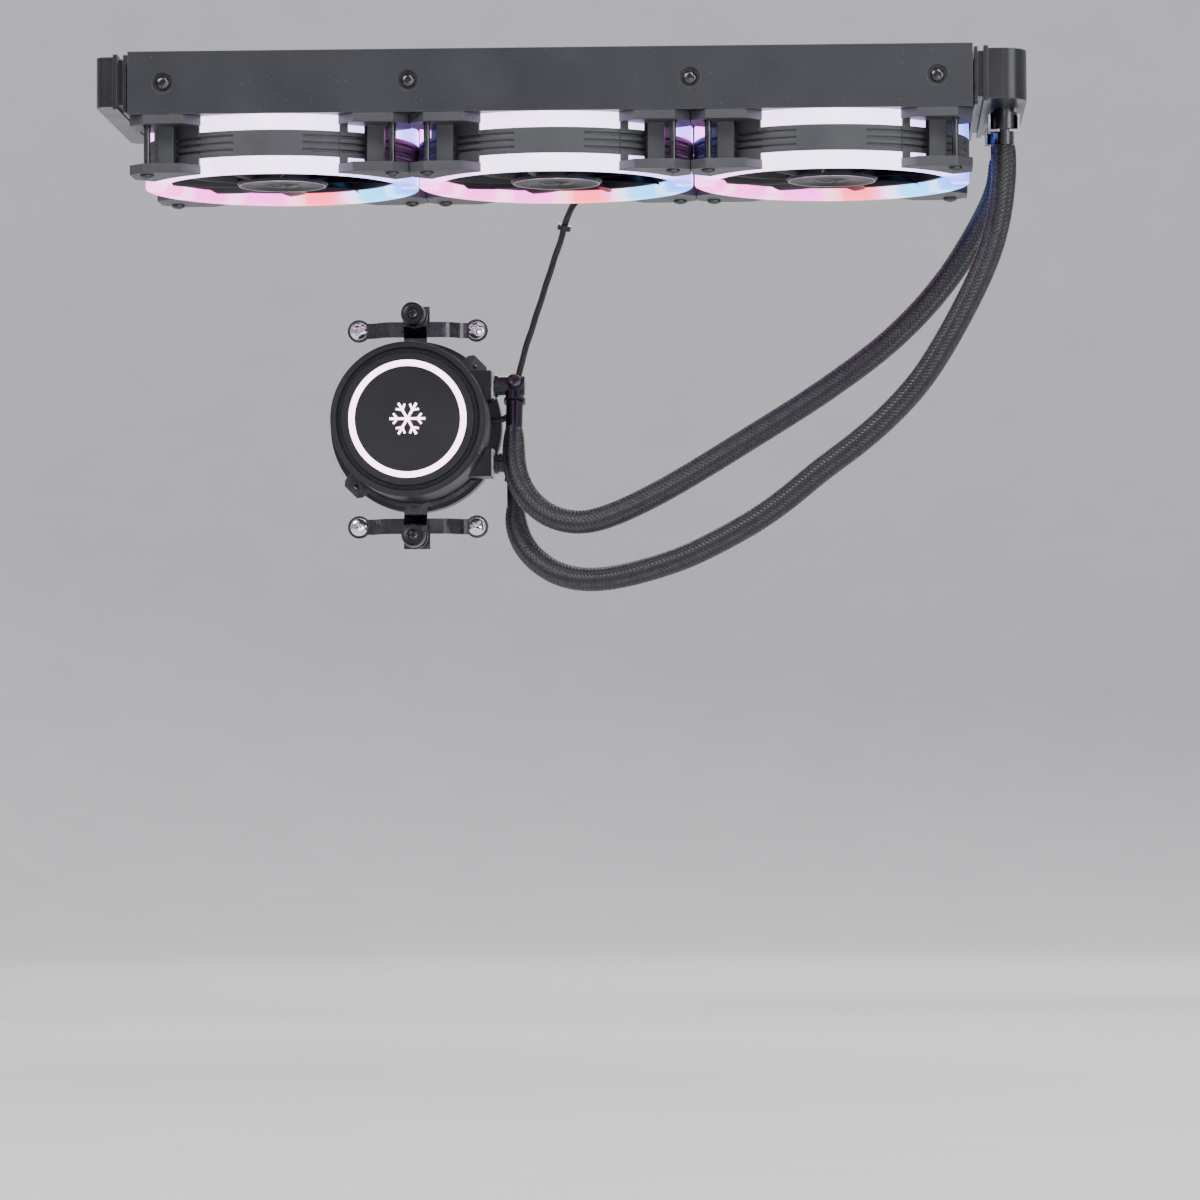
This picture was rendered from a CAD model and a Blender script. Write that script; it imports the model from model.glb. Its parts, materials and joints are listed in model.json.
import json
import math

import bmesh
import bpy
import numpy as np
from mathutils import Matrix, Vector


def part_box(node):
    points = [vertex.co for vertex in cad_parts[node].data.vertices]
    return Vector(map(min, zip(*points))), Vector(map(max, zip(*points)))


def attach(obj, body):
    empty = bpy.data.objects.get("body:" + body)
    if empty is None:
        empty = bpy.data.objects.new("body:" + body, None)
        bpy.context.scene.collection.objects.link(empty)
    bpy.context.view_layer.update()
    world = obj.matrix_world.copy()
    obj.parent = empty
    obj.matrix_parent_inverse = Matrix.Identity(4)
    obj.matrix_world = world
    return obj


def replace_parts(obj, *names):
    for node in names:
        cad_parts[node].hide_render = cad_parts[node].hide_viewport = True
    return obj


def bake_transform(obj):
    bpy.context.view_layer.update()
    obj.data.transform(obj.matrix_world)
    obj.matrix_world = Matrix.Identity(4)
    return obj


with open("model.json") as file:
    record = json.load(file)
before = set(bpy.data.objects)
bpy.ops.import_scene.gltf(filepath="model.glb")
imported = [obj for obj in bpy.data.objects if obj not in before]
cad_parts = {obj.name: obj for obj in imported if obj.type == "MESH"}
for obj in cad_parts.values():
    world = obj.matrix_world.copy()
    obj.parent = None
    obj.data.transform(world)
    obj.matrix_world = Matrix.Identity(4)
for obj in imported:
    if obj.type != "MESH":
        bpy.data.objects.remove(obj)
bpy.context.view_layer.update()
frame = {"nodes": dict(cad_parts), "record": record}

MM = 0.001
NODES = frame["nodes"]
SLOT_OF = {s["node"]: s["material_slot"] for s in frame["record"]["subparts"]}

# ---- camera, floor and light ----

CAMERA_AT = (0.1199, -2.2201, -0.3363)
CAMERA_LENS = 153.6
CAMERA_YAW, CAMERA_PITCH, CAMERA_ROLL = 2.62, 2.67, -0.214  # degrees left, up and round
FLOOR_Z = -0.42


def make_camera():
    data = bpy.data.cameras.new("camera")
    data.sensor_width = 36
    data.lens = CAMERA_LENS
    data.clip_end = 100
    camera = bpy.data.objects.new("camera", data)
    bpy.context.scene.collection.objects.link(camera)
    turn = Matrix.Rotation(math.radians(CAMERA_YAW), 3, "Z")
    tilt = Matrix.Rotation(math.radians(90 + CAMERA_PITCH), 3, "X")
    roll = Matrix.Rotation(math.radians(CAMERA_ROLL), 3, "Z")
    camera.matrix_world = (turn @ tilt @ roll).to_4x4()
    camera.location = CAMERA_AT
    bpy.context.scene.camera = camera


def make_floor():
    """A pale floor that curves up into a wall all round."""
    centre_y, reach, bend, top = -0.5, 3.3, 1.3, 3.2
    line = [(0.0002, FLOOR_Z), (1.0, FLOOR_Z), (reach - bend, FLOOR_Z)]
    for i in range(1, 17):
        a = math.pi / 2 * i / 16
        line.append((reach - bend + bend * math.sin(a), FLOOR_Z + bend - bend * math.cos(a)))
    line.append((reach, top))
    place = Matrix.Translation((0, centre_y / MM, 0))
    shape = Shape().lathe([(r / MM, z / MM) for r, z in line], 96, place, caps=False)
    sh = Shader("floor_paper", (0.74, 0.74, 0.75), 0.75)
    floor = shape.piece("floor", sh.mottle(0.05, 0.02).material, None, None)


def area_light(name, at, target, size, power, colour=(1, 1, 1)):
    data = bpy.data.lights.new(name, "AREA")
    data.shape = "RECTANGLE"
    data.size, data.size_y = size
    data.energy = power
    data.color = colour
    light = bpy.data.objects.new(name, data)
    bpy.context.scene.collection.objects.link(light)
    light.location = at
    light.rotation_euler = (Vector(target) - Vector(at)).to_track_quat("-Z", "Y").to_euler()


def make_lights():
    world = bpy.data.worlds.new("studio")
    bpy.context.scene.world = world
    world.use_nodes = True
    background = world.node_tree.nodes["Background"]
    background.inputs["Color"].default_value = (0.80, 0.82, 0.88, 1)
    background.inputs["Strength"].default_value = 0.30
    middle = (0.0, 0.0, -0.1)
    area_light("key", (-1.3, -1.5, 1.3), middle, (1.2, 0.9), 42)
    area_light("fill", (1.6, -1.3, 0.2), middle, (0.9, 1.4), 16, (0.93, 0.95, 1))
    area_light("strip", (0.5, -1.2, 1.2), middle, (0.25, 1.6), 14)
    area_light("back", (0.4, 1.3, 0.9), middle, (1.4, 0.8), 22)
    area_light("low", (0.5, -2.7, -0.2), (0.05, 0, -0.1), (0.8, 0.3), 9, (0.95, 0.93, 1))


# ---- materials ----


class Shader:
    """A Principled shader whose colour, roughness and bump come from procedural nodes."""

    def __init__(self, name, colour, rough, metallic=0.0, **sockets):
        self.material = bpy.data.materials.new(name)
        self.material.use_nodes = True
        self.tree = self.material.node_tree
        self.bsdf = self.tree.nodes["Principled BSDF"]
        self.bsdf.inputs["Metallic"].default_value = metallic
        for socket, value in sockets.items():
            self.bsdf.inputs[socket.replace("_", " ")].default_value = value
        self.place = self.node("ShaderNodeTexCoord").outputs["Object"]
        self.colour = self.node("ShaderNodeRGB").outputs[0]
        self.colour.default_value = (*colour, 1)
        self.rough = self.number(rough)
        self.normal = None
        self.join()

    def node(self, kind, **values):
        made = self.tree.nodes.new(kind)
        for key, value in values.items():
            if isinstance(value, bpy.types.NodeSocket):
                self.tree.links.new(value, made.inputs[key.replace("_", " ")])
            elif key.replace("_", " ") in made.inputs:
                made.inputs[key.replace("_", " ")].default_value = value
            else:
                setattr(made, key, value)
        return made

    def number(self, value):
        out = self.node("ShaderNodeValue").outputs[0]
        out.default_value = value
        return out

    def math(self, operation, a, b):
        made = self.node("ShaderNodeMath", operation=operation)
        for i, value in enumerate((a, b)):
            if isinstance(value, bpy.types.NodeSocket):
                self.tree.links.new(value, made.inputs[i])
            else:
                made.inputs[i].default_value = value
        return made.outputs[0]

    def spread(self, value, low, high, to_low, to_high):
        """value, stretched from low..high to to_low..to_high."""
        made = self.node("ShaderNodeMapRange", Value=value, From_Min=low, From_Max=high,
                         To_Min=to_low, To_Max=to_high)
        return made.outputs[0]

    def mix(self, share, a, b):
        made = self.tree.nodes.new("ShaderNodeMix")
        made.data_type = "RGBA"
        for i, value in ((0, share), (6, a), (7, b)):
            if isinstance(value, bpy.types.NodeSocket):
                self.tree.links.new(value, made.inputs[i])
            else:
                made.inputs[i].default_value = (*value, 1) if isinstance(value, tuple) else value
        return made.outputs[2]

    def stretched(self, scale):
        return self.node("ShaderNodeMapping", Vector=self.place, Scale=scale).outputs[0]

    def noise(self, size, detail=3.0, stretch=None):
        """Noise whose features are about size metres across."""
        place = self.place if stretch is None else self.stretched(stretch)
        return self.node("ShaderNodeTexNoise", Vector=place, Scale=1 / size, Detail=detail).outputs[0]

    def join(self):
        for out, name in ((self.colour, "Base Color"), (self.rough, "Roughness"), (self.normal, "Normal")):
            if out is not None:
                self.tree.links.new(out, self.bsdf.inputs[name])

    def mottle(self, size, amount, rough=0.06):
        """Uneven colour and gloss, as from moulding, paint or handling."""
        noise = self.noise(size, 5)
        light = self.spread(noise, 0.3, 0.7, 1 - amount, 1 + amount)
        scaled = self.node("ShaderNodeVectorMath", operation="SCALE")
        self.tree.links.new(self.colour, scaled.inputs[0])
        self.tree.links.new(light, scaled.inputs["Scale"])
        self.colour = scaled.outputs[0]
        self.rough = self.math("ADD", self.rough, self.spread(noise, 0.3, 0.7, -rough, rough))
        self.join()
        return self

    def grain(self, size, strength, depth=0.00005, stretch=None, detail=3.0):
        """Fine bumps of about size metres."""
        bump = self.node("ShaderNodeBump", Strength=strength, Distance=depth,
                         Height=self.noise(size, detail, stretch))
        if self.normal is not None:
            self.tree.links.new(self.normal, bump.inputs["Normal"])
        self.normal = bump.outputs[0]
        self.join()
        return self

    def edges(self, radius, worn, amount=0.5):
        """Rounds sharp edges in the shading and rubs them towards the colour worn."""
        bevel = self.node("ShaderNodeBevel", samples=4, Radius=radius)
        true_normal = self.node("ShaderNodeNewGeometry").outputs["Normal"]
        dot = self.node("ShaderNodeVectorMath", operation="DOT_PRODUCT")
        self.tree.links.new(bevel.outputs[0], dot.inputs[0])
        self.tree.links.new(true_normal, dot.inputs[1])
        patchy = self.spread(self.noise(0.004, 4), 0.35, 0.65, 0.3, 1.0)
        share = self.math("MULTIPLY", self.spread(dot.outputs["Value"], 0.99, 0.85, 0, amount), patchy)
        self.colour = self.mix(share, self.colour, worn)
        self.normal = bevel.outputs[0]
        self.join()
        return self

    def dust(self, amount, colour=(0.45, 0.44, 0.43)):
        """Thin dust and fine specks."""
        specks = self.spread(self.noise(0.0009, 2), 0.70, 0.78, 0, amount)
        self.colour = self.mix(specks, self.colour, colour)
        self.join()
        return self

    def glow(self, strength, unlit):
        """Gives off the colour made so far; unlit is the plastic's own colour."""
        base = self.bsdf.inputs["Base Color"]
        self.bsdf.inputs["Emission Strength"].default_value = strength
        self.tree.links.new(self.colour, self.bsdf.inputs["Emission Color"])
        for link in list(base.links):
            self.tree.links.remove(link)
        base.default_value = (*unlit, 1)
        return self


def moulded(name, colour, rough, grain=0.3, edge=0.0005, **sockets):
    """Moulded plastic or rubber, a little paler where its edges are rubbed."""
    worn = tuple(min(1, 2.2 * c + 0.02) for c in colour)
    sh = Shader(name, colour, rough, **sockets).edges(edge, worn).mottle(0.018, 0.10)
    return sh.grain(0.0005, grain, 0.00004).dust(0.25).material


def painted(name, colour, rough, **sockets):
    """Satin paint over metal, rubbed through along its edges."""
    bare = (0.22, 0.22, 0.23)
    sh = Shader(name, colour, rough, **sockets).edges(0.0006, bare, 0.6).mottle(0.03, 0.08)
    return sh.grain(0.0007, 0.25, 0.00005).dust(0.2).material


def metal(name, colour, rough, brushed=(1, 1, 1)):
    """Bare or plated metal; brushed stretches its grain along an axis."""
    worn = tuple(min(1, 1.2 * c) for c in colour)
    sh = Shader(name, colour, rough, 1.0)
    sh.edges(0.00025, worn, 0.5).mottle(0.006, 0.12, 0.08)
    return sh.grain(0.0006, 0.12, 0.00003, brushed).material


RING_GLOW = 4.0
CAP_GLOW = 6.0
LAMPS = 12  # light-emitting diodes round a fan's ring
RING_COLOURS = [(0.00, (1.0, 0.13, 0.66)), (0.08, (0.95, 0.34, 1.0)), (0.17, (0.80, 0.58, 1.0)),
                (0.30, (0.82, 0.68, 1.0)), (0.40, (0.45, 0.38, 1.0)), (0.46, (0.10, 0.16, 1.0)),
                (0.52, (0.03, 0.11, 1.0)), (0.57, (0.03, 0.36, 1.0)), (0.65, (0.05, 0.52, 1.0)),
                (0.675, (0.80, 0.22, 0.72)), (0.70, (1.0, 0.05, 0.10)), (0.74, (1.0, 0.05, 0.14)),
                (0.77, (1.0, 0.08, 0.72)), (0.86, (1.0, 0.10, 0.66)), (1.00, (1.0, 0.13, 0.66))]


def ring_light(name, centre_x):
    """A milky ring whose colour runs round the fan, brighter over each of its lamps."""
    sh = Shader(name, (1, 1, 1), 0.35)
    local = sh.node("ShaderNodeMapping", Vector=sh.place, Location=(-centre_x, 0, 0)).outputs[0]
    turn = sh.node("ShaderNodeTexGradient", gradient_type="RADIAL", Vector=local).outputs["Fac"]
    ramp = sh.node("ShaderNodeValToRGB", Fac=turn)
    stops = ramp.color_ramp.elements
    for stop, (position, colour) in zip((stops[0], stops[1]), (RING_COLOURS[0], RING_COLOURS[-1])):
        stop.position = position
        stop.color = (*colour, 1)
    for position, colour in RING_COLOURS[1:-1]:
        stops.new(position).color = (*colour, 1)
    wave = sh.math("COSINE", sh.math("MULTIPLY", turn, 2 * math.pi * LAMPS), 0)
    sh.colour = sh.mix(sh.spread(wave, 0.2, 1.0, 0.0, 0.30), ramp.outputs[0], (1, 1, 1))
    sh.join()
    sh.mottle(0.012, 0.05).grain(0.001, 0.1)
    return sh.glow(RING_GLOW, (0.30, 0.28, 0.32)).material


def make_materials():
    grey, black = (0.048, 0.049, 0.055), (0.010, 0.010, 0.012)
    made = {
        "cover_paint": painted("cover_paint", (0.021, 0.022, 0.027), 0.40),
        "tank_paint": painted("tank_paint", black, 0.30, Coat_Weight=0.15, Coat_Roughness=0.25),
        "core_aluminium": metal("core_aluminium", (0.055, 0.056, 0.06), 0.38, (1, 1, 12)),
        "steel": metal("steel", (0.62, 0.62, 0.64), 0.2, (1, 1, 6)),
        "chrome": metal("chrome", (0.86, 0.86, 0.88), 0.07),
        "dark_steel": metal("dark_steel", (0.085, 0.085, 0.09), 0.26, (8, 1, 1)),
        "copper": metal("copper", (0.82, 0.40, 0.24), 0.2, (14, 1, 1)),
        "frame_plastic": moulded("frame_plastic", grey, 0.46, 0.45, edge=0.0008),
        "rotor_plastic": moulded("rotor_plastic", (0.006, 0.006, 0.008), 0.4, 0.1,
                                 Specular_IOR_Level=0.3),
        "pump_plastic": moulded("pump_plastic", (0.014, 0.014, 0.017), 0.42, 0.3,
                                Specular_IOR_Level=0.35),
        "elbow_plastic": moulded("elbow_plastic", (0.008, 0.008, 0.011), 0.24, 0.08),
        "rubber": moulded("rubber", black, 0.22, 0.12),
        "cable_rubber": moulded("cable_rubber", (0.010, 0.010, 0.011), 0.36, 0.1),
        "bronze": metal("bronze", (0.6, 0.42, 0.2), 0.4),
        "coil": metal("coil", (0.6, 0.26, 0.1), 0.35, (1, 1, 10)),
        "board": moulded("board", (0.02, 0.14, 0.07), 0.35, 0.2),
        "magnet_plastic": moulded("magnet_plastic", (0.72, 0.72, 0.7), 0.4, 0.2),
        "ceramic": moulded("ceramic", (0.86, 0.86, 0.82), 0.15, 0.05),
        "lit_cap": Shader("lit_cap", (1.0, 0.62, 0.94), 0.3).mottle(0.01, 0.04).glow(
            CAP_GLOW, (0.3, 0.28, 0.3)).material,
    }
    # the yarns that run the two ways round the sleeve catch the light differently
    for name, colour, rough in (("sleeve", (0.040, 0.040, 0.045), 0.28), ("sleeve_cross", black, 0.4)):
        sh = Shader(name, colour, rough, Sheen_Weight=0.1, Sheen_Roughness=0.4)
        sh.mottle(0.004, 0.25, 0.06).grain(0.00018, 0.4, 0.00003, detail=1.0).dust(0.1)
        made[name] = sh.material
    return made


# ---- shapes ----


class Shape:
    """Points and faces of one piece, gathered from tubes, lathed forms and skins."""

    def __init__(self):
        self.points, self.faces, self.kinds, self.count = [], [], [], 0

    def tube(self, rings, caps=True, closed=False, kind=0):
        """Skins rings, an array of n rings of m points; closed joins the last ring to the first."""
        rings = np.asarray(rings, float)
        n, m = rings.shape[:2]
        base = self.count
        i, k = np.meshgrid(np.arange(n if closed else n - 1), np.arange(m), indexing="ij")
        j, l = (i + 1) % n, (k + 1) % m
        quads = np.stack([i * m + k, i * m + l, j * m + l, j * m + k], -1).reshape(-1, 4) + base
        self.points.append(rings.reshape(-1, 3))
        self.faces.extend(quads.tolist())
        if caps and not closed:
            self.faces.append(list(range(base + m - 1, base - 1, -1)))
            self.faces.append(list(range(base + (n - 1) * m, base + n * m)))
        self.kinds.extend([kind] * (len(self.faces) - len(self.kinds)))
        self.count += n * m
        return self

    def lathe(self, profile, sides, place, closed=False, caps=True):
        """Turns profile, (radius, height) in mm, round the z axis of place."""
        a = np.linspace(0, 2 * math.pi, sides, endpoint=False)
        rings = [[(r * c, r * s, z) for c, s in zip(np.cos(a), np.sin(a))] for r, z in profile]
        return self.tube(moved(rings, place), caps=caps, closed=closed)

    def piece(self, name, materials, body, slot, sharp=32.0):
        mesh = bpy.data.meshes.new(name)
        mesh.from_pydata(np.concatenate(self.points).tolist(), [], self.faces)
        mesh.polygons.foreach_set("material_index", self.kinds)
        mesh.polygons.foreach_set("use_smooth", [True] * len(self.faces))
        bm = bmesh.new()
        bm.from_mesh(mesh)
        bmesh.ops.recalc_face_normals(bm, faces=bm.faces)
        bm.to_mesh(mesh)
        bm.free()
        mesh.set_sharp_from_angle(angle=math.radians(sharp))
        for material in materials if isinstance(materials, list) else [materials]:
            mesh.materials.append(material)
        piece = bpy.data.objects.new(name, mesh)
        bpy.context.scene.collection.objects.link(piece)
        if body:
            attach(piece, body)
        return piece


def moved(points, place):
    """points in mm in the frame of place, as metres in the part's frame."""
    points = np.asarray(points, float)
    m = np.array(place, float)
    return (points @ m[:3, :3].T + m[:3, 3]) * MM


def at(x, y, z, turn=None):
    place = Matrix.Translation((x, y, z))
    return place if turn is None else place @ turn


def turned(degrees, axis):
    return Matrix.Rotation(math.radians(degrees), 4, axis)


PUMP = at(-70, 114, -148.5, turned(90, "X"))  # its z axis points out of the cap, at the camera
THUMB_ROW = 50.3  # the thumbscrews' distance from the pump's axis
PORT_ROW = 17.5  # the elbows' ports, above and below the axis
FAN_X = (-120, 0, 120)
FAN_LOW = -52.0  # under side of the fans


# ---- radiator ----


def fine_fins():
    """Folded fins at their real pitch between the flat tubes."""
    low, high = (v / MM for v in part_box("radiator_fins"))
    tubes, tube_width, pitch, sheet = 12, 2.0, 1.6, 0.14
    bank = (high.y - low.y - tubes * tube_width) / (tubes + 1)
    shape = Shape()
    folds = int((high.x - low.x - 1) / pitch * 2)
    x = np.linspace(low.x + 0.5, high.x - 0.5, folds + 1)
    for i in range(tubes + 1):
        middle = low.y + bank / 2 + i * (bank + tube_width)
        y = middle + np.where(np.arange(folds + 1) % 2, 1, -1) * (bank / 2 - 0.05)
        rings = np.zeros((folds + 1, 4, 3))
        for k, (dx, z) in enumerate(((-1, low.z), (1, low.z), (1, high.z), (-1, high.z))):
            rings[:, k] = np.stack([x + dx * sheet, y, np.full_like(x, z)], -1)
        shape.tube(rings * MM)
    fins = shape.piece("fine_fins", MATERIALS["core_aluminium"], "main", "core_aluminium", 20)
    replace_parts(fins, "radiator_fins")


# ---- screws ----


def cross_depth(x, y, reach, depth):
    """Depth of a cross recess at a point, as an array."""
    r = np.hypot(x, y)
    arm = np.minimum(np.abs(x), np.abs(y))
    inside = np.clip((0.19 * reach + 0.06 - arm) / 0.12, 0, 1) * np.clip((reach - r) / 0.25, 0, 1)
    return inside * depth * (1.15 - 0.6 * r / reach)


def hex_depth(x, y, reach, depth):
    """Depth of a hexagonal recess at a point, as an array."""
    a = np.arctan2(y, x)
    edge = reach * 0.87 / np.cos((a % (math.pi / 3)) - math.pi / 6)
    return np.clip((edge - np.hypot(x, y)) / 0.12, 0, 1) * depth


def screw(shape, place, radius, side, crown, shank, length, recess, reach, depth, sides=96):
    """A screw whose head's under side is at z = 0 and whose shank runs to -length.

    side is the height of the head's upright edge and crown the rise of its dome; recess gives the
    depth of its drive, which has a reach and a greatest depth.
    """
    a = np.linspace(0, 2 * math.pi, sides, endpoint=False)
    profile = [(shank - 0.3, -length), (shank, -length + 0.4), (shank, 0), (radius - 0.15, 0),
               (radius, 0.15), (radius, side)]
    rings = [np.stack([r * np.cos(a), r * np.sin(a), np.full_like(a, z)], -1) for r, z in profile]
    for share in np.concatenate([[0.97, 0.93, 0.87], np.linspace(0.8, 0.03, 22)]):
        r = radius * share
        x, y = r * np.cos(a), r * np.sin(a)
        z = side + crown * math.sqrt(max(0, 1 - share**2.4)) - recess(x, y, reach, depth)
        rings.append(np.stack([x, y, z], -1))
    shape.tube(moved(np.array(rings), place))


def make_screws():
    bars = Shape()
    for x in (-27, 27):
        for y in (-45, 45):
            twist = turned(20 + 30 * (x > 0) + 50 * (y > 0), "Z")
            screw(bars, PUMP @ at(x, y, 2.15, twist), radius=4.1, side=0.7, crown=1.6, shank=1.75,
                  length=9.15, recess=cross_depth, reach=2.1, depth=1.5)
    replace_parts(bars.piece("pan_head_screws", MATERIALS["chrome"], "main", "chrome"), "bar_screws")
    covers = Shape()
    for x in (-165, -60, 60, 165):
        for side in (-1, 1):
            place = at(x, side * 58.2, -13.5, turned(-90 * side, "X") @ turned(x, "Z"))
            screw(covers, place, radius=2.9, side=0.5, crown=1.15, shank=1.45, length=9,
                  recess=hex_depth, reach=1.35, depth=1.2)
    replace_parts(covers.piece("cover_hex_screws", MATERIALS["dark_steel"], "main", "steel"), "cover_screws")
    fans = Shape()
    for cx in FAN_X:
        for x in (-52.5, 52.5):
            for y in (-52.5, 52.5):
                place = at(cx + x, y, FAN_LOW, turned(180, "X") @ turned(3 * x + y + cx, "Z"))
                screw(fans, place, radius=2.95, side=0.6, crown=1.15, shank=1.45, length=30,
                      recess=cross_depth, reach=1.6, depth=1.1, sides=64)
    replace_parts(fans.piece("long_fan_screws", MATERIALS["dark_steel"], "main", "dark_steel"), "fan_screws")
    for name, tilt in (("upper", math.degrees(math.atan2(8, 20))), ("lower", 0.0)):
        row = PORT_ROW if name == "upper" else -PORT_ROW
        place = PUMP @ at(46, row, 24, turned(-tilt, "X"))
        shape = Shape()
        screw(shape, place @ at(0, 0, 5), radius=3.1, side=0.35, crown=0.9, shank=1.42, length=2.8,
              recess=cross_depth, reach=1.7, depth=0.9)
        piece = shape.piece(f"elbow_{name}_cross_screw", MATERIALS["dark_steel"], f"{name}_elbow", "steel")
        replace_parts(piece, f"elbow_screw_{name}")


# ---- fans ----


def blade(shape, turn, place):
    """One swept, twisted and cambered blade, as a closed skin round its section."""
    root, tip = 19.0, 49.5
    radii = np.linspace(root, tip, 15)
    chord = np.linspace(0, 1, 13)
    rings = []
    for r in radii:
        t = (r - root) / (tip - root)
        span = math.radians(41 - 7 * t)
        height = 13.4 - 2.0 * t
        lead = turn + math.radians(16) * t * t
        section = []
        for c, face in [(c, 1) for c in chord] + [(c, -1) for c in chord[-2:0:-1]]:
            camber = 1.5 * math.sin(math.pi * c)
            thick = (0.75 - 0.25 * t) * math.sin(math.pi * (0.06 + 0.9 * c)) ** 0.5
            a = lead + (c - 0.5) * span
            section.append((r * math.cos(a), r * math.sin(a), (c - 0.5) * height + camber + face * thick))
        rings.append(section)
    shape.tube(moved(np.array(rings), place))


def make_rotor(number):
    """A hub cup with nine blades, a plain three-armed mark and a thin bright trim."""
    low, high = FAN_LOW + 1.2, -35.2
    x = FAN_X[number - 1]
    blades = 9
    shape = Shape()
    profile = [(0.6, low + 0.5), (8.2, low + 0.5), (8.5, low + 0.25), (16.4, low + 0.25), (16.7, low),
               (18.2, low), (18.5, low + 0.15), (19.2, low + 0.2), (20, low + 1.1), (20, high - 0.3),
               (19.7, high), (17.6, high), (17.6, low + 1.7), (0.6, low + 1.7)]
    shape.lathe(profile, 128, at(x, 0, 0))
    for i in range(blades):
        turn = math.radians(360 / blades * i + 13 * number)
        blade(shape, turn, at(x, 0, (low + high) / 2 - 0.6))
    shape.lathe([(0.5, low + 0.2), (7.2, low + 0.2), (7.5, low + 0.35), (7.5, low + 0.6), (0.5, low + 0.6)],
                96, at(x, 0, 0))
    for arm in range(3):
        a = 2 * math.pi * arm / 3
        rings = []
        for t in np.linspace(0, 1, 12):
            r, b = 1.2 + 4.8 * t, a + 1.5 * t
            w = 0.9 * math.sin(math.pi * (0.12 + 0.8 * t))
            c, s = math.cos(b), math.sin(b)
            one = (r * c + w * s, r * s - w * c)
            other = (r * c - w * s, r * s + w * c)
            rings.append([(*one, low + 0.25), (*one, low - 0.05),
                          (*other, low - 0.05), (*other, low + 0.25)])
        shape.tube(moved(rings, at(x, 0, 0)))
    body = f"fan_{number}_blades"
    rotor = shape.piece(f"fan_{number}_swept_rotor", MATERIALS["rotor_plastic"], body, "rotor_plastic", 40)
    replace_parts(rotor, f"fan_{number}_rotor")
    trim = Shape()
    trim.lathe([(18.55, low - 0.08), (18.95, low - 0.08), (18.95, low + 0.3), (18.55, low + 0.3)],
               128, at(x, 0, 0), closed=True)
    trim.piece(f"fan_{number}_hub_trim", MATERIALS["steel"], body, "steel")


# ---- pump ----


def make_thumbscrew(name, side):
    """A knurled head with a thin bright rim and a small cross recess."""
    place = PUMP @ at(0, side * THUMB_ROW, 24)
    body = f"{name}_thumbscrew"
    sides, teeth = 288, 48
    a = np.linspace(0, 2 * math.pi, sides, endpoint=False)
    knurl = 0.13 * (0.5 + 0.5 * np.cos(teeth * a))
    profile = [(2.1, 0.0, 0), (5.0, 0.0, 0), (5.4, 0.4, 1), (5.5, 0.8, 1), (5.5, 5.6, 1), (5.3, 6.2, 1),
               (5.05, 6.9, 0), (4.9, 7.0, 0), (4.5, 7.0, 0), (4.3, 6.6, 0), (3.4, 6.4, 0), (2.5, 6.45, 0),
               (2.3, 6.2, 0), (2.3, 5.6, 0)]
    rings = []
    for r, z, cut in profile:
        radius = r - cut * knurl
        rings.append(np.stack([radius * np.cos(a), radius * np.sin(a), np.full_like(a, z)], -1))
    head = Shape().tube(moved(np.array(rings), place))
    knob = head.piece(f"thumbscrew_{name}_knurled", MATERIALS["elbow_plastic"], body, "rotor_plastic", 25)
    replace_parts(knob, f"thumbscrew_{name}")
    insert = Shape()
    screw(insert, place @ at(0, 0, 5.4), radius=2.2, side=0.5, crown=0.35, shank=1.4, length=1.2,
          recess=cross_depth, reach=1.5, depth=0.9)
    insert.piece(f"thumbscrew_{name}_insert", MATERIALS["dark_steel"], body, "rotor_plastic")


def make_spring(name, side):
    """A coil spring with flat ends between the bar's arm and the thumbscrew."""
    low, high, turns, coil, wire = 18.85, 23.95, 4.5, 3.55, 0.42
    steps = int(turns * 40)
    rings = []
    for i in range(steps + 1):
        t = i / steps
        a = 2 * math.pi * turns * t
        rise = np.clip((t - 0.16) / 0.68, 0, 1)
        z = low + wire + (high - low - 2 * wire) * rise
        out = Vector((math.cos(a), math.sin(a), 0))
        rings.append([tuple(out * (coil + wire * math.cos(b)) + Vector((0, 0, z + wire * math.sin(b))))
                      for b in np.linspace(0, 2 * math.pi, 10, endpoint=False)])
    shape = Shape().tube(moved(rings, PUMP @ at(0, side * THUMB_ROW, 0)))
    piece = shape.piece(f"spring_{name}_coil", MATERIALS["chrome"], None, "steel", 60)
    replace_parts(piece, f"spring_{name}")
    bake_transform(piece)


# ---- hoses and cable ----

UPPER_ROUTE = [(-24, 82, -151), (-24, 80, -156), (-24, 77, -163), (-23, 74, -172), (-19, 71, -181),
               (-12, 69, -189), (-2, 67, -194), (9, 66, -195), (20, 65, -192), (32, 63, -187),
               (46, 61, -180), (60, 59, -172), (75, 57, -163), (90, 54, -154), (105, 52, -145),
               (119, 49, -136), (132, 46, -127), (144, 43, -118), (156, 40, -107), (167, 37, -95),
               (176, 34, -83), (184, 30, -70), (189.5, 27, -60), (193, 24.5, -51.5), (194, 24, -44),
               (194, 24, -39)]
LOWER_ROUTE = [(-24, 90, -186), (-24, 90, -191), (-23, 89, -197), (-20, 87, -204), (-14, 84, -211),
               (-5, 81, -217), (6, 77, -220), (18, 72, -220), (30, 66, -218), (42, 61, -215),
               (55, 56, -211), (68, 50, -205), (80, 45, -199), (92, 39, -192), (103, 34, -184),
               (114, 28, -175), (126, 22, -167), (138, 15, -158), (149, 9, -148), (159, 3, -137),
               (167, -4, -125), (174, -9, -113), (181, -14, -100), (187, -18, -87), (191, -21, -74),
               (193, -23, -62), (194, -24, -51), (194, -24, -44), (194, -24, -39)]
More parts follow.
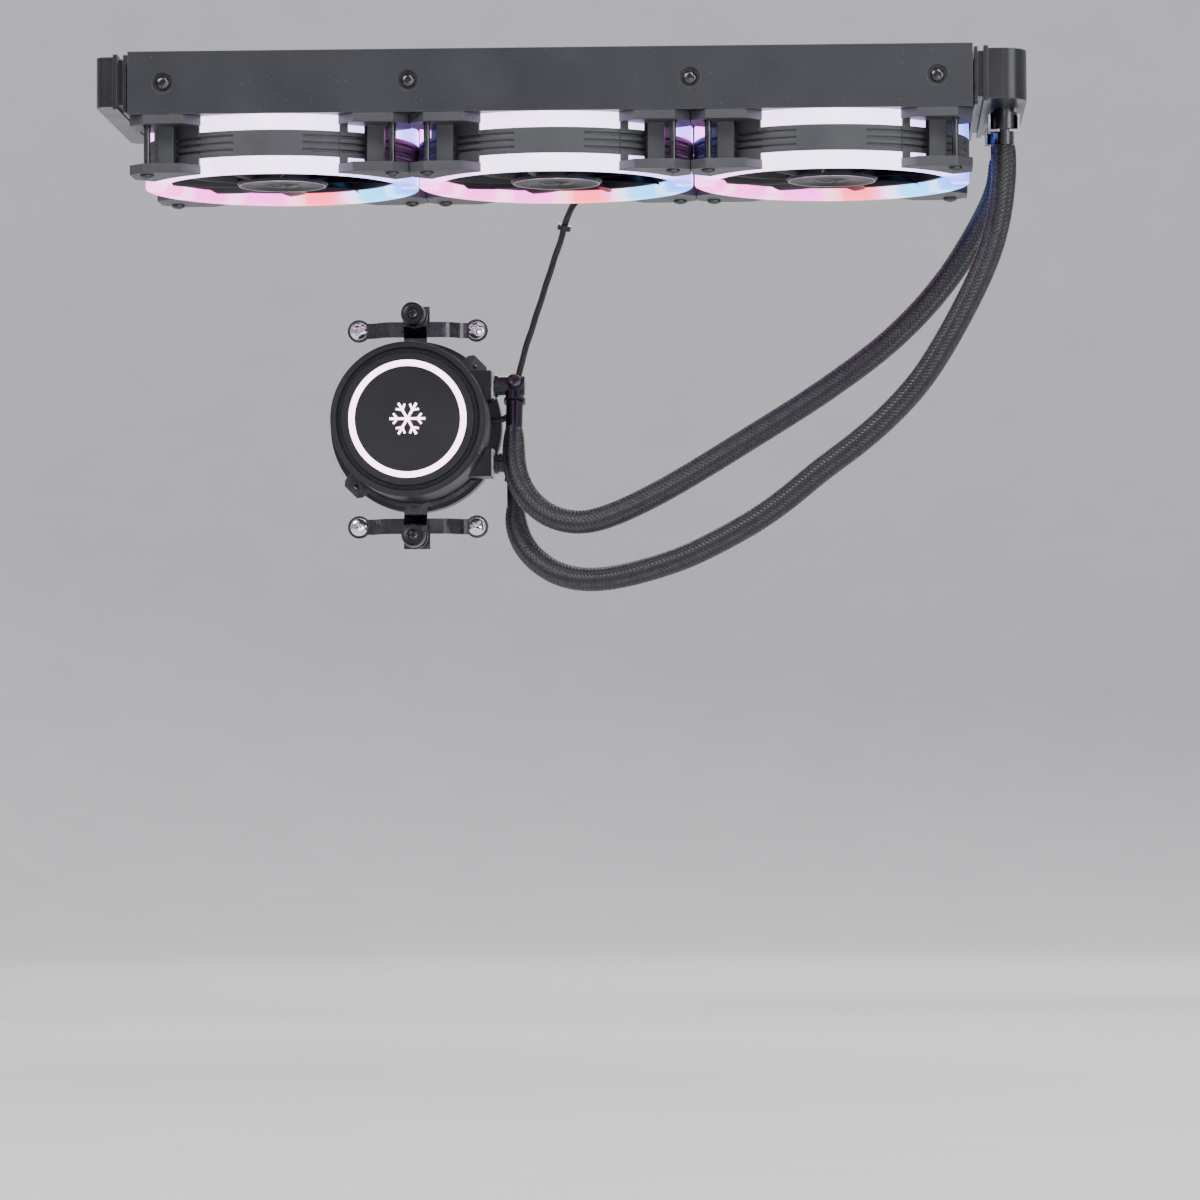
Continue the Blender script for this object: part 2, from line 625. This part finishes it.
CABLE_ROUTE = [(-36, 99, -146), (-32, 99, -146), (-28.5, 99, -145), (-26, 99.5, -142),
               (-24.5, 100, -138), (-24, 101, -132), (-23, 102, -125), (-21, 103, -116),
               (-18, 102, -107), (-15, 102, -98), (-12, 101, -89), (-9, 100, -80), (-6, 99, -71),
               (-3, 98, -63), (-1, 96, -55), (2, 92, -49), (7, 86, -45), (14, 80, -43), (22, 75, -42),
               (30, 70, -42), (38, 67, -42), (45, 65, -42)]
HOSE_RADIUS = 5.5


def smooth_line(route, step):
    """Points about step mm apart along a smooth curve through a route, in mm."""
    p = np.array(route, float)
    p = np.concatenate([[2 * p[0] - p[1]], p, [2 * p[-1] - p[-2]]])
    line = []
    for i in range(1, len(p) - 2):
        for t in np.linspace(0, 1, 24, endpoint=False):
            weights = ((1 - t) ** 3, 3 * t**3 - 6 * t**2 + 4, -3 * t**3 + 3 * t**2 + 3 * t + 1, t**3)
            line.append(sum(w * q for w, q in zip(weights, p[i - 1:i + 3])) / 6)
    line = np.array(line + [p[-2]])
    along = np.concatenate([[0], np.cumsum(np.linalg.norm(np.diff(line, axis=0), axis=1))])
    where = np.linspace(0, along[-1], int(along[-1] / step) + 1)
    return np.stack([np.interp(where, along, line[:, k]) for k in range(3)], -1), where


def frames(line):
    """Two unit vectors across the line at each point, carried along without twist."""
    ahead = np.gradient(line, axis=0)
    ahead /= np.linalg.norm(ahead, axis=1)[:, None]
    across = np.zeros_like(line)
    side = np.array([0.1, 1.0, 0.2])
    for i, t in enumerate(ahead):
        side = side - side @ t * t
        side /= np.linalg.norm(side)
        across[i] = side
    return across, np.cross(ahead, across)


def strand(line, across, up, angle, radius):
    """A line that keeps to an angle and a radius round another."""
    angle, radius = np.broadcast_to(angle, len(line)), np.broadcast_to(radius, len(line))
    return line + (radius * np.cos(angle))[:, None] * across + (radius * np.sin(angle))[:, None] * up


def braided_hose(name, route):
    """A rubber tube in a braided sleeve: two crossing families of flat yarns, two over and two under."""
    line, where = smooth_line(route, 0.52)
    across, up = frames(line)
    length = where[-1]
    yarns, lead, lift = 16, 30.0, 0.20
    # the collar at the pump and the ferrule at the tank draw the sleeve in
    swell = 1 - 0.30 * np.exp(-where / 5.5) - 0.16 * np.exp(-(length - where) / 2.0)
    base = (HOSE_RADIUS - 0.46) * swell
    shape = Shape()
    angles = np.linspace(0, 2 * math.pi, 32, endpoint=False)
    corners = [strand(line, across, up, a, base - 0.26) for a in angles]
    shape.tube(np.stack(corners, 1) * MM)
    half = math.pi / yarns * 0.84
    for kind, way in ((0, 1), (1, -1)):
        for k in range(yarns):
            angle = 2 * math.pi * (k / yarns + way * where / lead)
            weave = 2 * k + way * 2 * yarns * where / lead
            wave = base + way * lift * np.sin(math.pi / 2 * weave + math.pi / 4)
            edge = wave - 0.12
            shape.tube(np.stack([strand(line, across, up, angle - half, edge),
                                 strand(line, across, up, angle, wave + 0.24),
                                 strand(line, across, up, angle + half, edge)], 1) * MM, kind=kind)
    piece = shape.piece(name, [MATERIALS["sleeve"], MATERIALS["sleeve_cross"]], None, "sleeve", 75)
    return piece, line * MM, length * MM


def make_hoses():
    upper, line, length = braided_hose("hose_upper_braid", UPPER_ROUTE)
    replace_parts(upper, "hose_upper")
    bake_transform(upper)
    lower, line, length = braided_hose("hose_lower_braid", LOWER_ROUTE)
    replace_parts(lower, "hose_lower")
    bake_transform(lower)


def hank_points():
    """Two turns of a long loop behind the fans, one behind the other, then the tail."""
    x, half_width, low, high = 60, 8.5, -40.0, -12.0
    points = [(48.6, 64.3, -41.0), (50.8, 63.7, -37.5)]
    for turn, y in enumerate((63.5, 66.5)):
        points += [(x - half_width, y, z) for z in (-33 if turn == 0 else -36, -26, -19, high)]
        points += [(x - half_width * math.cos(a), y, high + half_width * math.sin(a))
                   for a in np.linspace(0.35, math.pi - 0.35, 7)]
        points += [(x + half_width, y, z) for z in (high, -19, -26, -33, low)]
        step = 3 * turn  # the first turn passes to the second layer, the second ends in the tail
        for i, a in enumerate(np.linspace(0.35, math.pi - (0.35 if turn == 0 else 1.6), 7 - step)):
            rise = 3.0 * i / 6 if turn == 0 else 0.0
            points.append((x + half_width * math.cos(a), y + rise, low - half_width * math.sin(a)))
    return points + [(57.8, 69.0, -47.6), (57.4, 70.8, -44.5), (57.8, 70.9, -39), (59.0, 70.9, -33),
                     (59.8, 70.9, -28), (60, 70.9, -24.2)]


def make_cable():
    """Five thin wires, twisted together, from the pump to the connector by way of the hank."""
    line, where = smooth_line(CABLE_ROUTE + hank_points(), 0.9)
    across, up = frames(line)
    wires, wire_radius, lead = 5, 0.56, 70.0
    shape = Shape()
    for k in range(wires):
        angle = 2 * math.pi * (k / wires + where / lead)
        centre = strand(line, across, up, angle, 0.93)
        corners = [centre + wire_radius * (math.cos(a) * across + math.sin(a) * up)
                   for a in np.linspace(0, 2 * math.pi, 10, endpoint=False)]
        shape.tube(np.stack(corners, 1) * MM)
    cable = shape.piece("pump_cable_wires", MATERIALS["cable_rubber"], "main", "cable_rubber", 60)
    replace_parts(cable, "pump_cable", "cable_hank")


def node_material(node):
    """The material of a CAD node, from its slot; each fan's rings have their own."""
    if node == "light_guide":
        return MATERIALS["lit_cap"]
    if SLOT_OF[node] == "light_plastic":
        fan_number = int(node.split("_")[1])
        return ring_light(node + "_glow", FAN_X[fan_number - 1] * MM)
    return MATERIALS[SLOT_OF[node]]


# ---- build ----

make_camera()
MATERIALS = make_materials()
make_hoses()
make_cable()
fine_fins()
make_screws()
for fan in (1, 2, 3):
    make_rotor(fan)
for screw_name, screw_side in (("upper", 1), ("lower", -1)):
    make_thumbscrew(screw_name, screw_side)
    make_spring(screw_name, screw_side)

for node, obj in NODES.items():
    obj.data.materials.clear()
    obj.data.materials.append(node_material(node))
make_floor()
make_lights()
